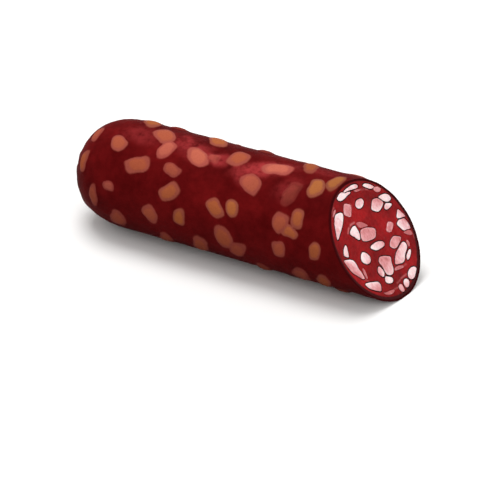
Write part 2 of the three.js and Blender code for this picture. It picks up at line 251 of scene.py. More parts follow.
def addNoise(nodes, links, place, scale, detail=4.0, rough=0.55):
    grain = nodes.new("ShaderNodeTexNoise")
    grain.inputs["Scale"].default_value = scale
    grain.inputs["Detail"].default_value = detail
    grain.inputs["Roughness"].default_value = rough
    links.new(place, grain.inputs["Vector"])
    return grain.outputs["Fac"]


def addRange(nodes, links, value, low, high, toLow=0.0, toHigh=1.0, soft=True):
    span = nodes.new("ShaderNodeMapRange")
    span.interpolation_type = "SMOOTHSTEP" if soft else "LINEAR"
    span.inputs["From Min"].default_value = low
    span.inputs["From Max"].default_value = high
    span.inputs["To Min"].default_value = toLow
    span.inputs["To Max"].default_value = toHigh
    links.new(value, span.inputs["Value"])
    return span.outputs["Result"]


def addRamp(nodes, links, value, stops):
    ramp = nodes.new("ShaderNodeValToRGB")
    points = ramp.color_ramp.elements
    while len(points) < len(stops):
        points.new(0.5)
    for point, (place, colour) in zip(points, stops):
        point.position = place
        point.color = (*colour, 1)
    links.new(value, ramp.inputs["Fac"])
    return ramp.outputs["Color"]


def addMix(nodes, links, share, first, second, blend="MIX"):
    mix = nodes.new("ShaderNodeMix")
    mix.data_type = "RGBA"
    mix.blend_type = blend
    for socket, value in (("Factor", share), ("A", first), ("B", second)):
        slot = [s for s in mix.inputs if s.name == socket and s.enabled][0]
        if isinstance(value, (int, float)):
            slot.default_value = value
        elif isinstance(value, tuple):
            slot.default_value = (*value, 1)
        else:
            links.new(value, slot)
    return [s for s in mix.outputs if s.enabled][0]


def addMath(nodes, links, kind, *values):
    result = nodes.new("ShaderNodeMath")
    result.operation = kind
    for index, value in enumerate(values):
        if isinstance(value, (int, float)):
            result.inputs[index].default_value = value
        else:
            links.new(value, result.inputs[index])
    return result.outputs[0]


def addAttribute(nodes, name):
    layer = nodes.new("ShaderNodeAttribute")
    layer.attribute_name = name
    return layer.outputs["Fac"]


def addDrift(nodes, links, start, grain, amount):
    return addMath(nodes, links, "MULTIPLY_ADD", addMath(nodes, links, "SUBTRACT", grain, 0.5), amount, start)


def addBump(nodes, links, shader, height, strength, distance):
    bump = nodes.new("ShaderNodeBump")
    bump.inputs["Strength"].default_value = strength
    bump.inputs["Distance"].default_value = distance
    links.new(height, bump.inputs["Height"])
    links.new(bump.outputs["Normal"], shader.inputs["Normal"])


# Fat seen through the casing, and red patches of painted highlight on it
# Fat: mm back from the cut, degrees up from the front, mm long, mm wide, tilt in degrees,
# tone (0 salmon, 1 ochre) and how plainly it shows
fatUnderSkin = [
    (168, 88, 19, 13, -40, 0.3, 0.9), (160, 69, 17, 11, 80, 0.05, 0.85), (132, 107, 24, 13, -55, 0.65, 1.0),
    (135, 70, 21, 12, -30, 0.12, 1.0), (123, 74, 10, 8, 0, 0.0, 0.35), (106, 82, 16, 14, 70, 0.35, 0.9),
    (75, 83, 23, 12, 17, 0.02, 1.0), (87, 56, 18, 12, -35, 0.2, 0.75), (57, 106, 24, 11, -70, 0.6, 0.75),
    (41, 72, 17, 12, -80, 0.85, 1.0), (31, 86, 20, 9, 85, 0.95, 0.9), (45, 35, 14, 9.5, 90, 0.6, 0.8),
    (57.5, 26, 14, 12, 80, 0.3, 0.7), (48, 19, 12, 8.5, -20, 0.6, 0.8), (95, 27, 13, 9, -75, 0.75, 0.95),
    (108, 22, 15, 11, -40, 0.6, 0.85), (100, -8, 20, 13, -80, 0.4, 0.75), (90, -20, 18, 11, 60, 0.25, 0.6),
    (56, -3, 13, 10, 90, 0.3, 0.7), (28, 6, 14, 8.5, 90, 0.6, 0.8), (42, -36, 20, 13, 80, 0.2, 0.6),
    (24, -37, 20, 10, 80, 0.5, 0.8), (122, -32, 24, 12, 75, 0.35, 0.75), (208, -2, 18, 8, 90, 0.25, 0.55),
    (189, -26, 19, 13, 75, 0.25, 0.65), (195, 15, 9, 8, 0, 0.0, 0.5), (222, 32, 16, 9, 90, 0.5, 0.7),
    (220, 72, 14, 9, 90, 0.2, 0.7), (188, 111, 22, 13, -60, 0.7, 0.9), (56, 58, 20, 11, 80, 0.0, 0.2),
    (97, 118, 13, 9, 0, 0.1, 0.25), (168, 119, 14, 9, 0, 0.1, 0.25), (146, 26, 17, 12, 40, 0.55, 0.8),
    (160, -4, 15, 11, -60, 0.3, 0.7), (176, 44, 18, 12, 20, 0.35, 0.8), (136, 2, 14, 10, 80, 0.7, 0.8),
    (197, 62, 15, 11, -50, 0.3, 0.85), (149, 48, 14, 9, -10, 0.2, 0.6), (152, -40, 18, 11, 70, 0.3, 0.65),
    (74, -48, 17, 11, 85, 0.3, 0.6), (14, -58, 15, 10, 60, 0.4, 0.65),
]
# Painted highlight, redder patches on the upper casing: the same, without a tone
highlightPatches = [
    (84, 78, 46, 17, 25, 1.0), (98, 66, 26, 15, -40, 0.6), (145, 82, 40, 20, -20, 0.7),
    (122, 74, 26, 13, 0, 0.8), (60, 62, 26, 18, 60, 0.35), (45, 100, 30, 10, 10, 0.3),
    (185, 80, 34, 20, 0, 0.4),
]
# The far side and the underside, filled in the same manner: mm back from the cut, degrees as above
backFat = {
    "seed": 11, "tries": 900, "apart": 22.5, "offCut": 12,
    "degrees": (126, 308), "back": (4, 226),
    "length": (12, 21), "slimness": (0.55, 0.85), "plainness": (0.55, 0.9),
}


def addBackFat():
    dice = random.Random(backFat["seed"])
    placed = [(patch[0], math.radians(patch[1])) for patch in fatUnderSkin]
    for attempt in range(backFat["tries"]):
        back = dice.uniform(*backFat["back"])
        degrees = dice.uniform(*backFat["degrees"])
        swing = math.radians(degrees)
        cutBack = (outOfCut.z * math.sin(swing) - outOfCut.y * math.cos(swing)) / outOfCut.x * radius / mm
        if back < cutBack + backFat["offCut"]:
            continue
        gaps = [math.hypot(back - b, radius / mm * math.remainder(swing - r, 2 * math.pi)) for b, r in placed]
        if min(gaps) < backFat["apart"]:
            continue
        placed.append((back, swing))
        length = dice.uniform(*backFat["length"])
        width = length * dice.uniform(*backFat["slimness"])
        tilt = dice.uniform(-90, 90)
        tone = dice.random()
        fatUnderSkin.append((back, degrees, length, width, tilt, tone, dice.uniform(*backFat["plainness"])))


addBackFat()
print("fat lumps under the casing:", len(fatUnderSkin))


def patchFrame(back, degrees):
    x = cutCentre.x - back * mm
    swing = math.radians(degrees)
    ring = domeRing(x)
    around = Vector((0, math.sin(swing), math.cos(swing)))
    out = Vector((0, -math.cos(swing), math.sin(swing)))
    step = 0.5 * mm
    rise = (domeRing(x + step) - domeRing(x - step)) / (2 * step)
    along = (Vector((1, 0, 0)) + out * rise).normalized()
    centre = Vector((x, 0, axisHeight)) + out * ring
    return centre, along, around, along.cross(around)


# How each of them lies under the casing: 1 is its outline, and the pairs run from where an effect starts
# outside it to where it's whole inside
patchForm = {
    "taper": 0.1,
    "corner": 2.5,                 # 2 is an ellipse, more is squarer
    "wander": 1.5 * mm,
    "wanderGrain": 130,            # noise scales are per metre
    "throughTo": 15 * mm,          # keeps it off the far side of the sausage
    "shape": (1.22, 0.78),
    "relief": (1.35, 0.25),
    "depth": (1.0, 0.35),
    # the painted highlight patches
    "red": (1.3, 0.3),
}
farOff = 9.0


def patchReach(points, warp, patch):
    back, degrees, length, width, tilt = patch[:5]
    centre, along, around, out = patchFrame(back, degrees)
    offset = points - np.array(centre)
    a = offset @ np.array(along) + warp[0] * patchForm["wander"]
    b = offset @ np.array(around) + warp[1] * patchForm["wander"]
    off = np.abs(offset @ np.array(out))
    spin = math.radians(tilt)
    major = (a * math.cos(spin) + b * math.sin(spin)) / (length * mm / 2)
    minor = (b * math.cos(spin) - a * math.sin(spin)) / (width * mm / 2)
    minor = minor / (1 + patchForm["taper"] * math.sin(back + degrees) * np.clip(major, -1, 1))
    major = major / (1 + patchForm["taper"] * math.cos(2 * back + degrees) * np.clip(minor, -1, 1))
    corner = patchForm["corner"]
    reach = (np.abs(major) ** corner + np.abs(minor) ** corner) ** (1 / corner)
    reach[off > patchForm["throughTo"]] = farOff
    return reach


# Casing
casing = {
    "around": 56,
    "ringGap": 3.5 * mm,
    "domeRings": 22,
    "innerDomeRings": 8,
    "innerGap": 26 * mm,
    "spare": 4 * mm,               # made beyond the cut, then sliced off
    "mergeAtCut": 0.3 * mm,
    "levels": 2,
    "neckFit": 0.98,               # of the neck's radius, inside the clip
    "knob": ((0, 0.75), (0.9 * mm, 1), (1.9 * mm, 0.86)),    # past the clip: place and share of its radius
    "lumpHeight": 1.35 * mm,
    "lumpsFrom": (9 * mm, 20 * mm),       # they fade out towards the rounded end's middle
    "unevenness": 0.35 * mm,
    "broadGrain": 75,
    "fineGrain": 260,
    "pleats": 13,
    "pleatGrain": 90,
    "pleatDepth": 0.7 * mm,
    "pleatsFrom": (2.8 * mm, 6 * mm),
    "pleatsTo": (7 * mm, 27 * mm),
    "smoothAngle": 40,
    "cutEdge": 1.0 * mm,           # painted shade: darker where the casing meets the cut
    "wine": ((0.3, (0.070, 0.0022, 0.0027)), (0.7, (0.124, 0.0043, 0.0049))),
    "streaks": ((0.35, (0.72, 0.66, 0.66)), (0.62, (1, 1, 1))),
    # painted highlight: colour of the red patches
    "lean": (0.30, 0.028, 0.030),
    # painted shade in the pleat valleys
    "creaseColour": (0.022, 0.0012, 0.0015),
    "fatMiddle": ((0.0, (0.46, 0.112, 0.075)), (0.35, (0.36, 0.085, 0.040)),
                  (0.7, (0.34, 0.098, 0.032)), (1.0, (0.33, 0.118, 0.036))),
    "fatRim": ((0.0, (0.34, 0.070, 0.055)), (1.0, (0.215, 0.062, 0.034))),
    "fatFlecks": (0.2, 0.026, 0.016),
    # painted shade: the colour the casing darkens to towards the bottom
    "underneath": (0.022, 0.0008, 0.0010),
    "underneathTo": 66 * mm,       # how high the painted shade underneath fades out
    # painted shade along the cut edge
    "cutEdgeColour": (0.030, 0.0018, 0.0025),
}


def outerProfile():
    neck, tail = sausage["neckRadius"], sausage["tailRadius"]
    rings = [(tailX + along, share * tail) for along, share in casing["knob"]]
    rings += [(x, neck * casing["neckFit"]) for x in (clipLow[0], clipHigh[0])]
    for step in range(1, casing["domeRings"] + 1):
        swing = math.pi / 2 * step / casing["domeRings"]
        ring = radius * math.sin(swing) ** (2 / sausage["domeFullness"])
        if ring > tail:
            rings.append((domeX(ring), ring))
    x = poleX + sausage["domeLength"]
    end = casingHigh[0] + casing["spare"]
    count = math.ceil((end - x) / casing["ringGap"])
    for step in range(1, count + 1):
        rings.append((x + (end - x) * step / count, radius))
    return rings


def extrudeRings(rings):
    x, ring = rings[0]
    for nextX, nextRing in rings[1:]:
        bpy.ops.mesh.extrude_edges_move(TRANSFORM_OT_translate={"value": (nextX - x, 0, 0)})
        share = nextRing / ring
        bpy.ops.transform.resize(value=(1, share, share), center_override=(nextX, 0, axisHeight))
        x, ring = nextX, nextRing


def selectOpenEdges():
    bpy.ops.mesh.select_mode(type="EDGE")
    bpy.ops.mesh.select_all(action="DESELECT")
    bpy.ops.mesh.select_non_manifold(extend=False, use_wire=False, use_boundary=True, use_multi_face=False,
                                     use_non_contiguous=False, use_verts=False)


def subdivideSmooth(piece, levels):
    rounding = piece.modifiers.new("rounding", "SUBSURF")
    rounding.levels = levels
    rounding.render_levels = levels
    activate(piece)
    bpy.ops.object.modifier_apply(modifier=rounding.name)


def shapeSkin(piece):
    points = readPoints(piece)
    warp = [noiseAt(points, patchForm["wanderGrain"], offset) for offset in (3, 17)]
    shape = np.zeros(len(points))
    relief = np.zeros(len(points))
    tone = np.zeros(len(points))
    level = np.zeros(len(points))
    depth = np.zeros(len(points))
    nearest = np.full(len(points), farOff)
    for patch in fatUnderSkin:
        reach = patchReach(points, warp, patch)
        shape = np.maximum(shape, smooth(*patchForm["shape"], reach))
        relief = np.maximum(relief, smooth(*patchForm["relief"], reach))
        depth = np.maximum(depth, smooth(*patchForm["depth"], reach))
        closer = reach < nearest
        nearest[closer] = reach[closer]
        tone[closer] = patch[5]
        level[closer] = patch[6]
    # painted highlight: redder patches on the upper casing
    red = np.zeros(len(points))
    for patch in highlightPatches:
        reach = patchReach(points, (warp[0] * 2, warp[1] * 2), patch)
        red = np.maximum(red, patch[5] * smooth(*patchForm["red"], reach))

    offset = points - np.array((0, 0, axisHeight))
    ring = np.hypot(offset[:, 1], offset[:, 2])
    inDome = np.minimum(offset[:, 0] - (poleX + sausage["domeLength"]), 0)
    out = np.stack([inDome, offset[:, 1], offset[:, 2]], axis=1)
    out /= np.linalg.norm(out, axis=1)[:, None]
    body = smooth(*casing["lumpsFrom"], ring)
    lift = casing["lumpHeight"] * relief * body
    lift += casing["unevenness"] * noiseAt(points, casing["broadGrain"], 5) * body
    lift += 0.3 * casing["unevenness"] * noiseAt(points, casing["fineGrain"], 9) * body

    # pleats gathered into the clip, dying away up the rounded end
    swing = np.arctan2(offset[:, 2], offset[:, 1])
    wander = 0.5 * noiseAt(points, casing["pleatGrain"], 21)
    fold = np.cos(casing["pleats"] * swing + 2.2 * wander)
    fold += 0.5 * np.cos((casing["pleats"] - 5) * swing + 1.3)
    nearPole = (1 - smooth(*casing["pleatsTo"], ring)) * (offset[:, 0] < poleX + 0.5 * sausage["domeLength"])
    nearPole *= smooth(*casing["pleatsFrom"], ring)
    lift += casing["pleatDepth"] * (fold - 0.4) * nearPole
    # painted shade: darker in the valleys of the pleats
    crease = np.clip(0.35 - 0.65 * fold, 0, 1) * nearPole
    points = points + out * lift[:, None]
    points[:, 2] = np.maximum(points[:, 2], 0)
    writePoints(piece, points)
    writeAttribute(piece, "fatShape", shape * body)
    writeAttribute(piece, "fatDepth", depth)
    writeAttribute(piece, "fatTone", tone)
    writeAttribute(piece, "fatLevel", level)
    writeAttribute(piece, "leanShow", red)
    writeAttribute(piece, "crease", crease)


def makeCasing():
    rings = outerProfile()
    startClean()
    bpy.ops.mesh.primitive_circle_add(vertices=casing["around"], radius=rings[0][1], fill_type="TRIFAN",
                                      location=(rings[0][0], 0, axisHeight), rotation=(0, -math.pi / 2, 0))
    piece = bpy.context.object
    piece.name = "sausageCasing"
    bpy.ops.object.transform_apply(location=True, rotation=True, scale=True)
    bpy.ops.object.mode_set(mode="EDIT")
    selectOpenEdges()
    extrudeRings(rings)
    bpy.ops.object.mode_set(mode="OBJECT")
    subdivideSmooth(piece, casing["levels"])
    shapeSkin(piece)

    # sliced off on the slant, then the wall turned in at the cut and followed back inside
    activate(piece)
    bpy.ops.object.mode_set(mode="EDIT")
    bpy.ops.mesh.select_all(action="SELECT")
    bpy.ops.mesh.bisect(plane_co=cutCentre, plane_no=outOfCut, clear_outer=True)
    selectOpenEdges()
    bpy.ops.mesh.remove_doubles(threshold=casing["mergeAtCut"])
    selectOpenEdges()
    wallShare = 1 - sausage["wall"] / radius
    bpy.ops.mesh.extrude_edges_move(TRANSFORM_OT_translate={"value": (0, 0, 0)})
    bpy.ops.transform.resize(value=(wallShare, wallShare, wallShare), center_override=cutCentre)
    innerX = cutCentre.x - cutReach - casing["spare"]
    bpy.ops.mesh.extrude_edges_move(TRANSFORM_OT_translate={"value": (-cutReach, 0, 0)})
    bpy.ops.transform.resize(value=(0, 1, 1), center_override=(innerX, 0, axisHeight))
    inner = radius - sausage["wall"]
    innerRings = [(innerX, inner)]
    x = innerX
    while x - casing["innerGap"] > poleX + sausage["domeLength"]:
        x -= casing["innerGap"]
        innerRings.append((x, inner))
    for step in range(casing["innerDomeRings"], 0, -1):
        swing = math.pi / 2 * step / casing["innerDomeRings"]
        ring = inner * math.sin(swing) ** (2 / sausage["domeFullness"])
        innerRings.append((domeX(ring, sausage["wall"]), ring))
    extrudeRings(innerRings)
    bpy.ops.mesh.edge_face_add()
    bpy.ops.mesh.poke()
    bpy.ops.mesh.select_all(action="SELECT")
    bpy.ops.mesh.normals_make_consistent(inside=False)
    bpy.ops.object.mode_set(mode="OBJECT")
    bpy.ops.object.shade_smooth_by_angle(angle=math.radians(casing["smoothAngle"]))
    fromCut = np.abs((readPoints(piece) - np.array(cutCentre)) @ np.array(outOfCut))
    writeAttribute(piece, "cutEdge", 1 - smooth(0, casing["cutEdge"], fromCut))
    return piece


def skinMaterial():
    material, nodes, links, shader = newMaterial("driedCasing")
    place = nodes.new("ShaderNodeTexCoord").outputs["Object"]
    broad = addNoise(nodes, links, place, 34, 3)
    middle = addNoise(nodes, links, place, 170, 5, 0.6)
    fine = addNoise(nodes, links, place, 900, 5, 0.65)
    wine = addRamp(nodes, links, broad, casing["wine"])
    streaks = addRamp(nodes, links, middle, casing["streaks"])
    skin = addMix(nodes, links, 0.8, wine, streaks, "MULTIPLY")
    # painted highlight: the red patches mixed into the casing
    highlightShare = addMath(nodes, links, "MULTIPLY", addAttribute(nodes, "leanShow"),
                      addRange(nodes, links, middle, 0.2, 0.65))
    skin = addMix(nodes, links, highlightShare, skin, casing["lean"])
    # painted shade: darker in the valleys of the pleats
    skin = addMix(nodes, links, addAttribute(nodes, "crease"), skin, casing["creaseColour"])

    # fat showing through: dusky at its edges, warmer towards its middle
    ragged = addDrift(nodes, links, addAttribute(nodes, "fatShape"), middle, 0.5)
    mask = addRange(nodes, links, ragged, 0.15, 0.8)
    tone = addAttribute(nodes, "fatTone")
    warm = addRamp(nodes, links, tone, casing["fatMiddle"])
    dusky = addRamp(nodes, links, tone, casing["fatRim"])
    inward = addDrift(nodes, links, addAttribute(nodes, "fatDepth"), middle, 0.9)
    fat = addMix(nodes, links, addRange(nodes, links, inward, 0.1, 0.75), dusky, warm)
    fat = addMix(nodes, links, addRange(nodes, links, fine, 0.4, 0.75, 0.0, 0.22), fat, casing["fatFlecks"])
    shown = addMath(nodes, links, "MULTIPLY", mask, addAttribute(nodes, "fatLevel"))
    colour = addMix(nodes, links, shown, skin, fat)
    height = nodes.new("ShaderNodeSeparateXYZ")
    links.new(place, height.inputs["Vector"])
    # painted shade: the casing, fat included, made darker towards the bottom
    underShadeShare = addRange(nodes, links, height.outputs["Z"], 0.0, casing["underneathTo"], 0.66, 0)
    colour = addMix(nodes, links, underShadeShare, colour, casing["underneath"])
    # painted shade: the casing darkened along its cut edge
    cutShadeShare = addMath(nodes, links, "MULTIPLY", addAttribute(nodes, "cutEdge"), 0.8)
    colour = addMix(nodes, links, cutShadeShare, colour, casing["cutEdgeColour"])
    links.new(colour, shader.inputs["Base Color"])
    links.new(addRange(nodes, links, fine, 0.3, 0.75, 0.48, 0.62), shader.inputs["Roughness"])
    shader.inputs["Specular IOR Level"].default_value = 0.008
    shader.inputs["Specular Tint"].default_value = (1.0, 0.42, 0.42, 1)
    wrinkles = addMath(nodes, links, "ADD", addMath(nodes, links, "MULTIPLY", middle, 0.6),
                       addMath(nodes, links, "MULTIPLY", fine, 0.45))
    addBump(nodes, links, shader, wrinkles, 0.6, 0.5 * mm)
    return material


casingPiece = makeCasing()
finishPiece(casingPiece, ["casing"], skinMaterial())
print("casing made:", len(casingPiece.data.polygons), "faces")


# Fat showing at the cut
fatCut = {
    "flatAngle": 4,
    "edgeDepth": 0.5 * mm,         # loop that holds the top edge
    "longEdge": 1.2 * mm,          # edges round the outline longer than this are divided
    "crown": 0.22 * mm,
    "topShare": 0.84,
    "outlineCuts": 3,              # keeps the corners from rounding right off
    "levels": 2,
    "growth": {"fat_white": 0.02 * mm, "fat_pink": 0.16 * mm, "fat_thin": 0.26 * mm},
    "waver": 0.16 * mm,
    "waverGrain": 420,
    "waverFrom": 2 * mm,           # from the middle of the piece, where it's whole
    # painted highlight along the rounded top edge of the fat
    "paleWidth": 0.2 * mm,
    # painted shade on the fat's sides in the seam
    "sideHeight": (-0.42 * mm, -0.1 * mm),
    "streakTurn": (0.35, 0.2, 0.3),
    "streakStretch": (1.0, 1.0, 0.28),
    "blush": {"fat_white": 0.12, "fat_pink": 0.72, "fat_thin": 0.95},
    # how much painted highlight each kind gets on its edge
    "paleEdge": {"fat_white": 0.0, "fat_pink": 0.22, "fat_thin": 0.0},
    # how strong the painted seam shade is round each kind
    "outlined": {"fat_white": 1.0, "fat_pink": 0.45, "fat_thin": 0.0},
    "whiteToPink": ((0.0, (0.87, 0.71, 0.71)), (0.25, (0.82, 0.54, 0.55)),
                    (0.6, (0.68, 0.285, 0.295)), (1.0, (0.46, 0.11, 0.115))),
    "sideColour": (0.014, 0.002, 0.0025),
}
# Pieces that aren't one colour: how pink in the middle, how much pinker to one side, and which way that is
# in degrees round the cut
fatBlush = {
    "fat_crown_right": (0.18, 0.2, 330), "fat_crown_left": (0.1, 0.1, 60),
    "fat_upper_right": (0.2, 0.3, 0), "fat_oval_top": (0.3, 0.3, 90),
    "fat_right_polygon": (0.52, 0.4, 80), "fat_right_small": (0.2, 0.25, 200),
    "fat_left_wedge": (0.15, 0.22, 180), "fat_left_polygon": (0.08, 0.15, 240),
    "fat_middle_oblong": (0.3, 0.3, 10), "fat_right_edge_top": (0.42, 0.5, 20),
    "fat_right_edge_block": (0.33, 0.38, 30), "fat_lower_big": (0.28, 0.32, 150),
    "fat_lower_narrow": (0.2, 0.2, 180), "fat_lower_block": (0.66, 0.1, 45),
    "fat_heart_block": (0.58, 0.32, 100), "fat_heart_left": (0.5, 0.3, 150),
    "fat_heart_foot": (0.12, 0.1, 180), "fat_oval_left": (0.2, 0.3, 330),
    "fat_left_band": (0.46, 0.5, 215), "fat_bottom_left": (0.38, 0.5, 260),
    "fat_left_tooth": (0.2, 0.2, 290), "fat_bottom_round": (0.3, 0.35, 270),
    "fat_bottom_right": (0.15, 0.2, 290), "fat_bottom_bead": (0.6, 0, 0),
}
# How dark a line of painted seam shade the meat has round a piece, where it isn't the usual one for its kind
fatOutlined = {
    "fat_centre_block": 0.8, "fat_right_polygon": 0.9, "fat_lower_block": 0.8, "fat_heart_block": 0.9,
    "fat_left_band": 0.8, "fat_tilted_square": 0.0, "fat_small_oblong": 0.0, "fat_right_edge_top": 0.7,
    "fat_lower_strip": 0.3, "fat_bottom_bead": 0.7,
}


def flatOnCut(points):
    offset = points - np.array(cutCentre)
    return offset @ np.array(acrossCut), offset @ np.array(upCut), offset @ np.array(outOfCut)


def makeFat(node, name, slot, outlined):
    piece = copyNode(node, name, 0.02 * mm)
    bpy.ops.mesh.dissolve_limited(angle_limit=math.radians(fatCut["flatAngle"]))
    bpy.ops.mesh.select_all(action="SELECT")
    bpy.ops.mesh.bisect(plane_co=cutCentre - outOfCut * fatCut["edgeDepth"], plane_no=outOfCut)
    bpy.ops.mesh.select_mode(type="EDGE")
    bpy.ops.mesh.select_all(action="DESELECT")
    bpy.ops.object.mode_set(mode="OBJECT")
    corners = piece.data.vertices
    for edge in piece.data.edges:
        first, second = (corners[index].co for index in edge.vertices)
        lies = abs((second - first).normalized().dot(outOfCut)) < 0.5
        edge.select = lies and (second - first).length > fatCut["longEdge"]
    bpy.ops.object.mode_set(mode="EDIT")
    bpy.ops.mesh.subdivide(number_cuts=fatCut["outlineCuts"])
    bpy.ops.mesh.select_mode(type="FACE")
    bpy.ops.mesh.select_all(action="DESELECT")
    bpy.ops.object.mode_set(mode="OBJECT")
    for face in piece.data.polygons:
        face.select = face.normal.dot(outOfCut) > 0.95
    chosen = [face for face in piece.data.polygons if face.select]
    middle = sum((face.center * face.area for face in chosen), Vector()) / sum(face.area for face in chosen)
    bpy.ops.object.mode_set(mode="EDIT")
    bpy.ops.mesh.extrude_region_move(TRANSFORM_OT_translate={"value": outOfCut * fatCut["crown"]})
    share = fatCut["topShare"]
    bpy.ops.transform.resize(value=(share, share, share), center_override=middle + outOfCut * fatCut["crown"])
    bpy.ops.object.mode_set(mode="OBJECT")
    subdivideSmooth(piece, fatCut["levels"])

    points = readPoints(piece)
    away = points - np.array(middle)
    away -= np.outer(away @ np.array(outOfCut), np.array(outOfCut))
    spread = np.linalg.norm(away, axis=1)
    spread[spread < 1e-6] = 1
    waver = noiseAt(points, fatCut["waverGrain"], len(name))
    grow = fatCut["growth"][slot] + fatCut["waver"] * waver * np.minimum(1, spread / fatCut["waverFrom"])
    points = points + away / spread[:, None] * grow[:, None]
    writePoints(piece, points)
    pink, more, heading = fatBlush.get(node, (fatCut["blush"][slot], 0, 0))
    swing = math.radians(heading)
    aside = away @ np.array(acrossCut * math.cos(swing) + upCut * math.sin(swing))
    height = flatOnCut(points)[2]
    # painted highlight: pink fat paler along its rounded top edge
    edge = 1 - smooth(0, fatCut["paleWidth"], height)
    pink = pink + more * aside / np.abs(aside).max() - fatCut["paleEdge"][slot] * edge
    writeAttribute(piece, "blush", np.clip(pink, 0, 1))
    # painted shade: the fat's sides darkened in the seam
    writeAttribute(piece, "side", outlined * (1 - smooth(*fatCut["sideHeight"], height)))
    bpy.ops.object.shade_smooth()
    return piece


def fatMaterial(name):
    material, nodes, links, shader = newMaterial(name)
    place = nodes.new("ShaderNodeTexCoord").outputs["Object"]
    clouds = addNoise(nodes, links, place, 170, 3)
    grain = addNoise(nodes, links, place, 1400, 4, 0.6)
    lay = nodes.new("ShaderNodeMapping")
    lay.inputs["Rotation"].default_value = fatCut["streakTurn"]
    lay.inputs["Scale"].default_value = fatCut["streakStretch"]
    links.new(place, lay.inputs["Vector"])
    streak = addNoise(nodes, links, lay.outputs["Vector"], 520, 3, 0.6)
    pink = addDrift(nodes, links, addAttribute(nodes, "blush"), clouds, 0.7)
    pink = addDrift(nodes, links, pink, streak, 0.75)
    pink = addMath(nodes, links, "ADD", pink, addRange(nodes, links, grain, 0.45, 0.8, 0, 0.16))
    colour = addRamp(nodes, links, pink, fatCut["whiteToPink"])
    # painted shade on the fat's sides in the seam
    colour = addMix(nodes, links, addAttribute(nodes, "side"), colour, fatCut["sideColour"])
    links.new(colour, shader.inputs["Base Color"])
    links.new(addRange(nodes, links, grain, 0.3, 0.7, 0.3, 0.46), shader.inputs["Roughness"])
    shader.inputs["Subsurface Weight"].default_value = 0.25
    shader.inputs["Subsurface Radius"].default_value = (1.0, 0.45, 0.35)
    shader.inputs["Subsurface Scale"].default_value = 1.2 * mm
    shader.inputs["Specular IOR Level"].default_value = 0.3
    shader.inputs["Coat Weight"].default_value = 0.1
    shader.inputs["Coat Roughness"].default_value = 0.2
    addBump(nodes, links, shader, grain, 0.35, 0.25 * mm)
    return material


fatFinish = {slot: fatMaterial(name) for slot, name in
             (("fat_white", "whiteFat"), ("fat_pink", "pinkFat"), ("fat_thin", "thinFat"))}
fatPieces = []
for entry in frame["record"]["subparts"]:
    node, slot = entry["node"], entry["material_slot"]
    if not node.startswith("fat_"):
        continue
    words = node.split("_")
    fatName = words[0] + "".join(word.capitalize() for word in words[1:])
    outlined = fatOutlined.get(node, fatCut["outlined"][slot])
    fatPiece = makeFat(node, fatName, slot, outlined)
    finishPiece(fatPiece, [node], fatFinish[slot])
    fatPieces.append((fatPiece, outlined))
print("fat at the cut:", len(fatPieces), "pieces")


# Lean filling
filling = {
    "cell": 0.9 * mm,
    "onFace": 0.05 * mm,           # counts as lying on the cut
    "dip": 0.22 * mm,              # the meat sinks a little beside the fat
    "dipWidth": 0.9 * mm,
    "grain": 0.16 * mm,
    "broadGrain": 330,
    "fineGrain": 900,
    "sunk": 0.12 * mm,             # the whole face, below the fat
    "calmRim": 2.5 * mm,           # the relief dies away towards the casing
    "edge": 1.28 * mm,             # how far inside the casing's outside the meat starts
    "rimZone": 2.2 * mm,
    "rimRun": 12 * mm,             # how far back from the cut the side is rounded too
    "stretch": 5 * mm,
    "fatHeight": 0.25 * mm,        # below the cut, where the fat's outline is taken
    "deepest": 9 * mm,
    "edgeSamples": 4,
    "line": 0.95 * mm,             # painted shade: dark line in the seam beside the fat
    "smoothAngle": 35,
    "crust": 3.6 * mm,             # darker dried meat under the casing, widened towards the bottom by painted shade
    # painted shade: how much wider the dark rim grows towards the bottom
    "crustSpread": 1.1 * mm,
    "wispWidth": 0.55 * mm,
    "red": ((0.3, (0.155, 0.0032, 0.0048)), (0.7, (0.33, 0.0075, 0.0095))),
    "mottle": ((0.3, (0.55, 0.45, 0.45)), (0.55, (1, 1, 1))),
    "flecks": (0.45, 0.07, 0.07),
    "wispColour": (0.55, 0.16, 0.16),
    "crustColour": (0.037, 0.0018, 0.0026),
    "lineColour": (0.006, 0.001, 0.0013),
}
# Pale wisps of fat smeared over the meat: strength, then places across and up the round section, in mm
wisps = [
    (0.8, (-20.1, 13.0), (-17.5, 15.3), (-13.9, 16.5), (-9.9, 16.4)),
    (0.55, (3.8, -29.0), (7.2, -28.9), (11.0, -28.7)),
    (0.4, (34.9, -8.4), (35.5, -10.9), (34.8, -13.0)),
    (0.45, (10.1, 31.1), (13.5, 30.2), (16.5, 28.7)),
    (0.4, (-5.7, -32.2), (-2.3, -32.5)),
    (0.35, (-24.6, 28.8), (-22.9, 29.9), (-20.5, 30.9)),
    (0.35, (-27.2, -16.1), (-25.0, -17.6), (-23.0, -19.6)),
    (0.3, (40.7, 6.3), (41.0, 3.8)),
    (0.35, (12.7, -23.6), (15.6, -23.4)),
    (0.3, (-5.4, 27.4), (-4.8, 26.2), (-7.0, 23.4)),
    (0.45, (-0.6, -29.7), (2.0, -29.8), (4.1, -28.9)),
]


def fatEdges():
    outline, weights = [], []
    for piece, outlined in fatPieces:
        points = readPoints(piece)
        height = flatOnCut(points)[2]
        atTop = np.abs(height + filling["fatHeight"]) < 0.2 * mm
        pairs = np.array([edge.vertices[:] for edge in piece.data.edges])
        pairs = pairs[atTop[pairs].all(axis=1)]
        for share in np.arange(0, 1, 1 / filling["edgeSamples"]):
            outline.extend(points[pairs[:, 0]] * (1 - share) + points[pairs[:, 1]] * share)
        weights.extend([outlined] * (len(outline) - len(weights)))
    tree = kdtree.KDTree(len(outline))
    for index, point in enumerate(outline):
        tree.insert(Vector(point), index)
    tree.balance()
    return tree, weights


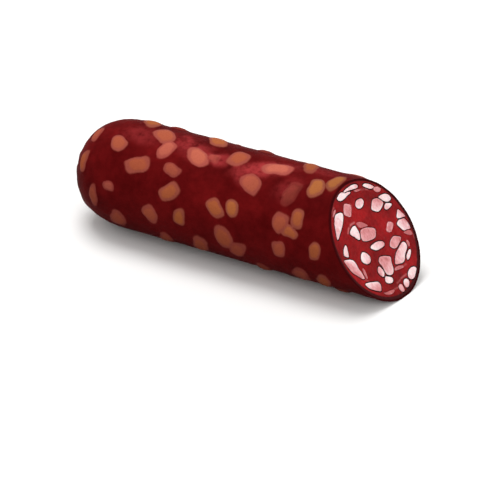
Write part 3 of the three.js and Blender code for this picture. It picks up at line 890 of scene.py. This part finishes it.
def makeFilling():
    piece = copyNode("filling", "leanFilling", 0.005 * mm)
    bpy.ops.mesh.select_mode(type="FACE")
    bpy.ops.object.mode_set(mode="OBJECT")
    for face in piece.data.polygons:
        height = (face.center - cutCentre).dot(outOfCut)
        face.select = face.normal.dot(outOfCut) > 0.95 and abs(height) < filling["onFace"]
    bpy.ops.object.mode_set(mode="EDIT")
    bpy.ops.mesh.hide(unselected=True)
    bpy.ops.mesh.select_mode(type="VERT")
    for direction, reach in ((acrossCut, radius), (upCut, radius / outOfCut.x)):
        for step in range(1, int(2 * reach / filling["cell"])):
            bpy.ops.mesh.select_all(action="SELECT")
            spot = cutCentre + direction * (step * filling["cell"] - reach)
            bpy.ops.mesh.bisect(plane_co=spot, plane_no=direction)
    bpy.ops.mesh.select_all(action="SELECT")
    bpy.ops.mesh.subdivide(number_cuts=1)
    bpy.ops.mesh.reveal(select=False)
    bpy.ops.object.mode_set(mode="OBJECT")
    return piece


def wispsAt(points):
    flat = np.stack([points[:, 1], points[:, 2] - axisHeight], axis=1)
    shown = np.zeros(len(points))
    for strength, *places in wisps:
        places = np.array(places) * mm
        for start, end in zip(places, places[1:]):
            along = end - start
            share = np.clip((flat - start) @ along / (along @ along), 0, 1)
            away = np.linalg.norm(flat - start - share[:, None] * along, axis=1)
            shown = np.maximum(shown, strength * np.exp(-(away / filling["wispWidth"]) ** 2))
    return shown


def shapeFilling(piece):
    points = readPoints(piece)
    height = flatOnCut(points)[2]
    onFace = np.abs(height) < filling["onFace"]
    offset = points - np.array((0, 0, axisHeight))
    ring = np.hypot(offset[:, 1], offset[:, 2])
    swing = np.arctan2(offset[:, 2], offset[:, 1])
    target = radius - filling["edge"]

    # the faceted rim is moved out to a true round, and the face near it is stretched to follow
    outside = ring > radius - filling["rimZone"]
    sides = [face.vertices[:] for face in piece.data.polygons if face.normal.dot(outOfCut) < 0.9]
    rim = np.array(sorted({i for side in sides for i in side if onFace[i] and outside[i]}))
    rimRing = np.interp(swing, swing[rim], ring[rim], period=2 * math.pi)
    follow = np.clip(1 - (rimRing - ring) / filling["stretch"], 0, 1)
    nearSkin = outside & (points[:, 0] > cutCentre.x - cutReach - filling["rimRun"])
    moved = np.where(onFace, ring + follow * (target - rimRing), np.where(nearSkin, target, ring))
    share = moved / np.maximum(ring, 1e-6)
    points[:, 1] = points[:, 1] * share
    points[:, 2] = axisHeight + offset[:, 2] * share
    # keep the moved rim in the plane of the cut
    up, height = flatOnCut(points)[1:]
    points[onFace, 0] -= height[onFace] / outOfCut.x

    tree, weights = fatEdges()
    near = np.full(len(points), 1.0)
    outlined = np.zeros(len(points))
    for index in range(len(points)):
        if height[index] > -filling["deepest"]:
            spot = Vector(points[index])
            spot -= outOfCut * ((spot - cutCentre).dot(outOfCut) + filling["fatHeight"])
            nearest, near[index] = tree.find(spot)[1:]
            outlined[index] = weights[nearest]
    dip = filling["dip"] * np.exp(-(near / filling["dipWidth"]) ** 2)
    grain = noiseAt(points, filling["broadGrain"], 4) + 0.5 * noiseAt(points, filling["fineGrain"], 8)
    grain *= filling["grain"]
    ring = np.hypot(points[:, 1], points[:, 2] - axisHeight)
    inner = smooth(0, filling["calmRim"], target - ring)
    lift = np.where(onFace, (grain - dip) * inner - filling["sunk"], 0)
    points = points + np.outer(lift, np.array(outOfCut))
    writePoints(piece, points)
    writeAttribute(piece, "besideFat", outlined * np.exp(-(near / filling["line"]) ** 2))
    # a real dried rim, plus painted shade making it wider towards the bottom
    rim = radius - np.hypot(points[:, 1], points[:, 2] - axisHeight)
    dryRimAndShadeWidth = filling["crust"] - filling["crustSpread"] * up / radius
    writeAttribute(piece, "crust", 1 - smooth(0.45, 1, rim / dryRimAndShadeWidth))
    writeAttribute(piece, "wisp", wispsAt(points))
    bpy.ops.object.shade_smooth_by_angle(angle=math.radians(filling["smoothAngle"]))


def meatMaterial():
    material, nodes, links, shader = newMaterial("leanMeat")
    place = nodes.new("ShaderNodeTexCoord").outputs["Object"]
    broad = addNoise(nodes, links, place, 60, 3)
    fibre = addNoise(nodes, links, place, 420, 6, 0.65)
    fine = addNoise(nodes, links, place, 1500, 4, 0.6)
    red = addRamp(nodes, links, broad, filling["red"])
    mottle = addRamp(nodes, links, fibre, filling["mottle"])
    red = addMix(nodes, links, 0.6, red, mottle, "MULTIPLY")
    red = addMix(nodes, links, addRange(nodes, links, fine, 0.62, 0.8, 0, 0.2), red, filling["flecks"])
    broken = addRange(nodes, links, fibre, 0.3, 0.55)
    smear = addMath(nodes, links, "MULTIPLY", addAttribute(nodes, "wisp"), broken)
    red = addMix(nodes, links, smear, red, filling["wispColour"])
    # dried rim with painted shade towards the bottom
    rough = addDrift(nodes, links, addAttribute(nodes, "crust"), fibre, 0.5)
    red = addMix(nodes, links, addRange(nodes, links, rough, 0.2, 0.85), red, filling["crustColour"])
    # painted shade: near-black line in the seam beside the fat
    line = addRange(nodes, links, addAttribute(nodes, "besideFat"), 0.38, 0.66)
    red = addMix(nodes, links, line, red, filling["lineColour"])
    links.new(red, shader.inputs["Base Color"])
    links.new(addRange(nodes, links, fibre, 0.3, 0.7, 0.32, 0.5), shader.inputs["Roughness"])
    shader.inputs["Specular IOR Level"].default_value = 0.1
    shader.inputs["Specular Tint"].default_value = (1.0, 0.5, 0.5, 1)
    shader.inputs["Coat Weight"].default_value = 0.03
    shader.inputs["Coat Roughness"].default_value = 0.25
    relief = addMath(nodes, links, "ADD", fibre, addMath(nodes, links, "MULTIPLY", fine, 0.4))
    addBump(nodes, links, shader, relief, 0.5, 0.3 * mm)
    return material


fillingPiece = makeFilling()
shapeFilling(fillingPiece)
finishPiece(fillingPiece, ["filling"], meatMaterial())
print("filling made:", len(fillingPiece.data.polygons), "faces")


# Clip on the gathered end
clip = {
    "flatAngle": 3,
    "levels": 2,
    "metal": ((0.3, (0.42, 0.43, 0.45)), (0.7, (0.72, 0.73, 0.75))),
    "roughness": (0.36, 0.58),
}


def clipMaterial():
    material, nodes, links, shader = newMaterial("clipMetal")
    place = nodes.new("ShaderNodeTexCoord").outputs["Object"]
    scuffs = addNoise(nodes, links, place, 900, 5, 0.7)
    links.new(addRamp(nodes, links, scuffs, clip["metal"]), shader.inputs["Base Color"])
    links.new(addRange(nodes, links, scuffs, 0.3, 0.75, *clip["roughness"]), shader.inputs["Roughness"])
    shader.inputs["Metallic"].default_value = 1.0
    addBump(nodes, links, shader, scuffs, 0.25, 0.1 * mm)
    return material


def makeClip():
    piece = copyNode("end_clip", "crimpedClip", 0.01 * mm)
    bpy.ops.mesh.dissolve_limited(angle_limit=math.radians(clip["flatAngle"]))
    bpy.ops.object.mode_set(mode="OBJECT")
    subdivideSmooth(piece, clip["levels"])
    bpy.ops.object.shade_smooth()
    return piece


clipPiece = makeClip()
finishPiece(clipPiece, ["end_clip"], clipMaterial())
print("clip made")
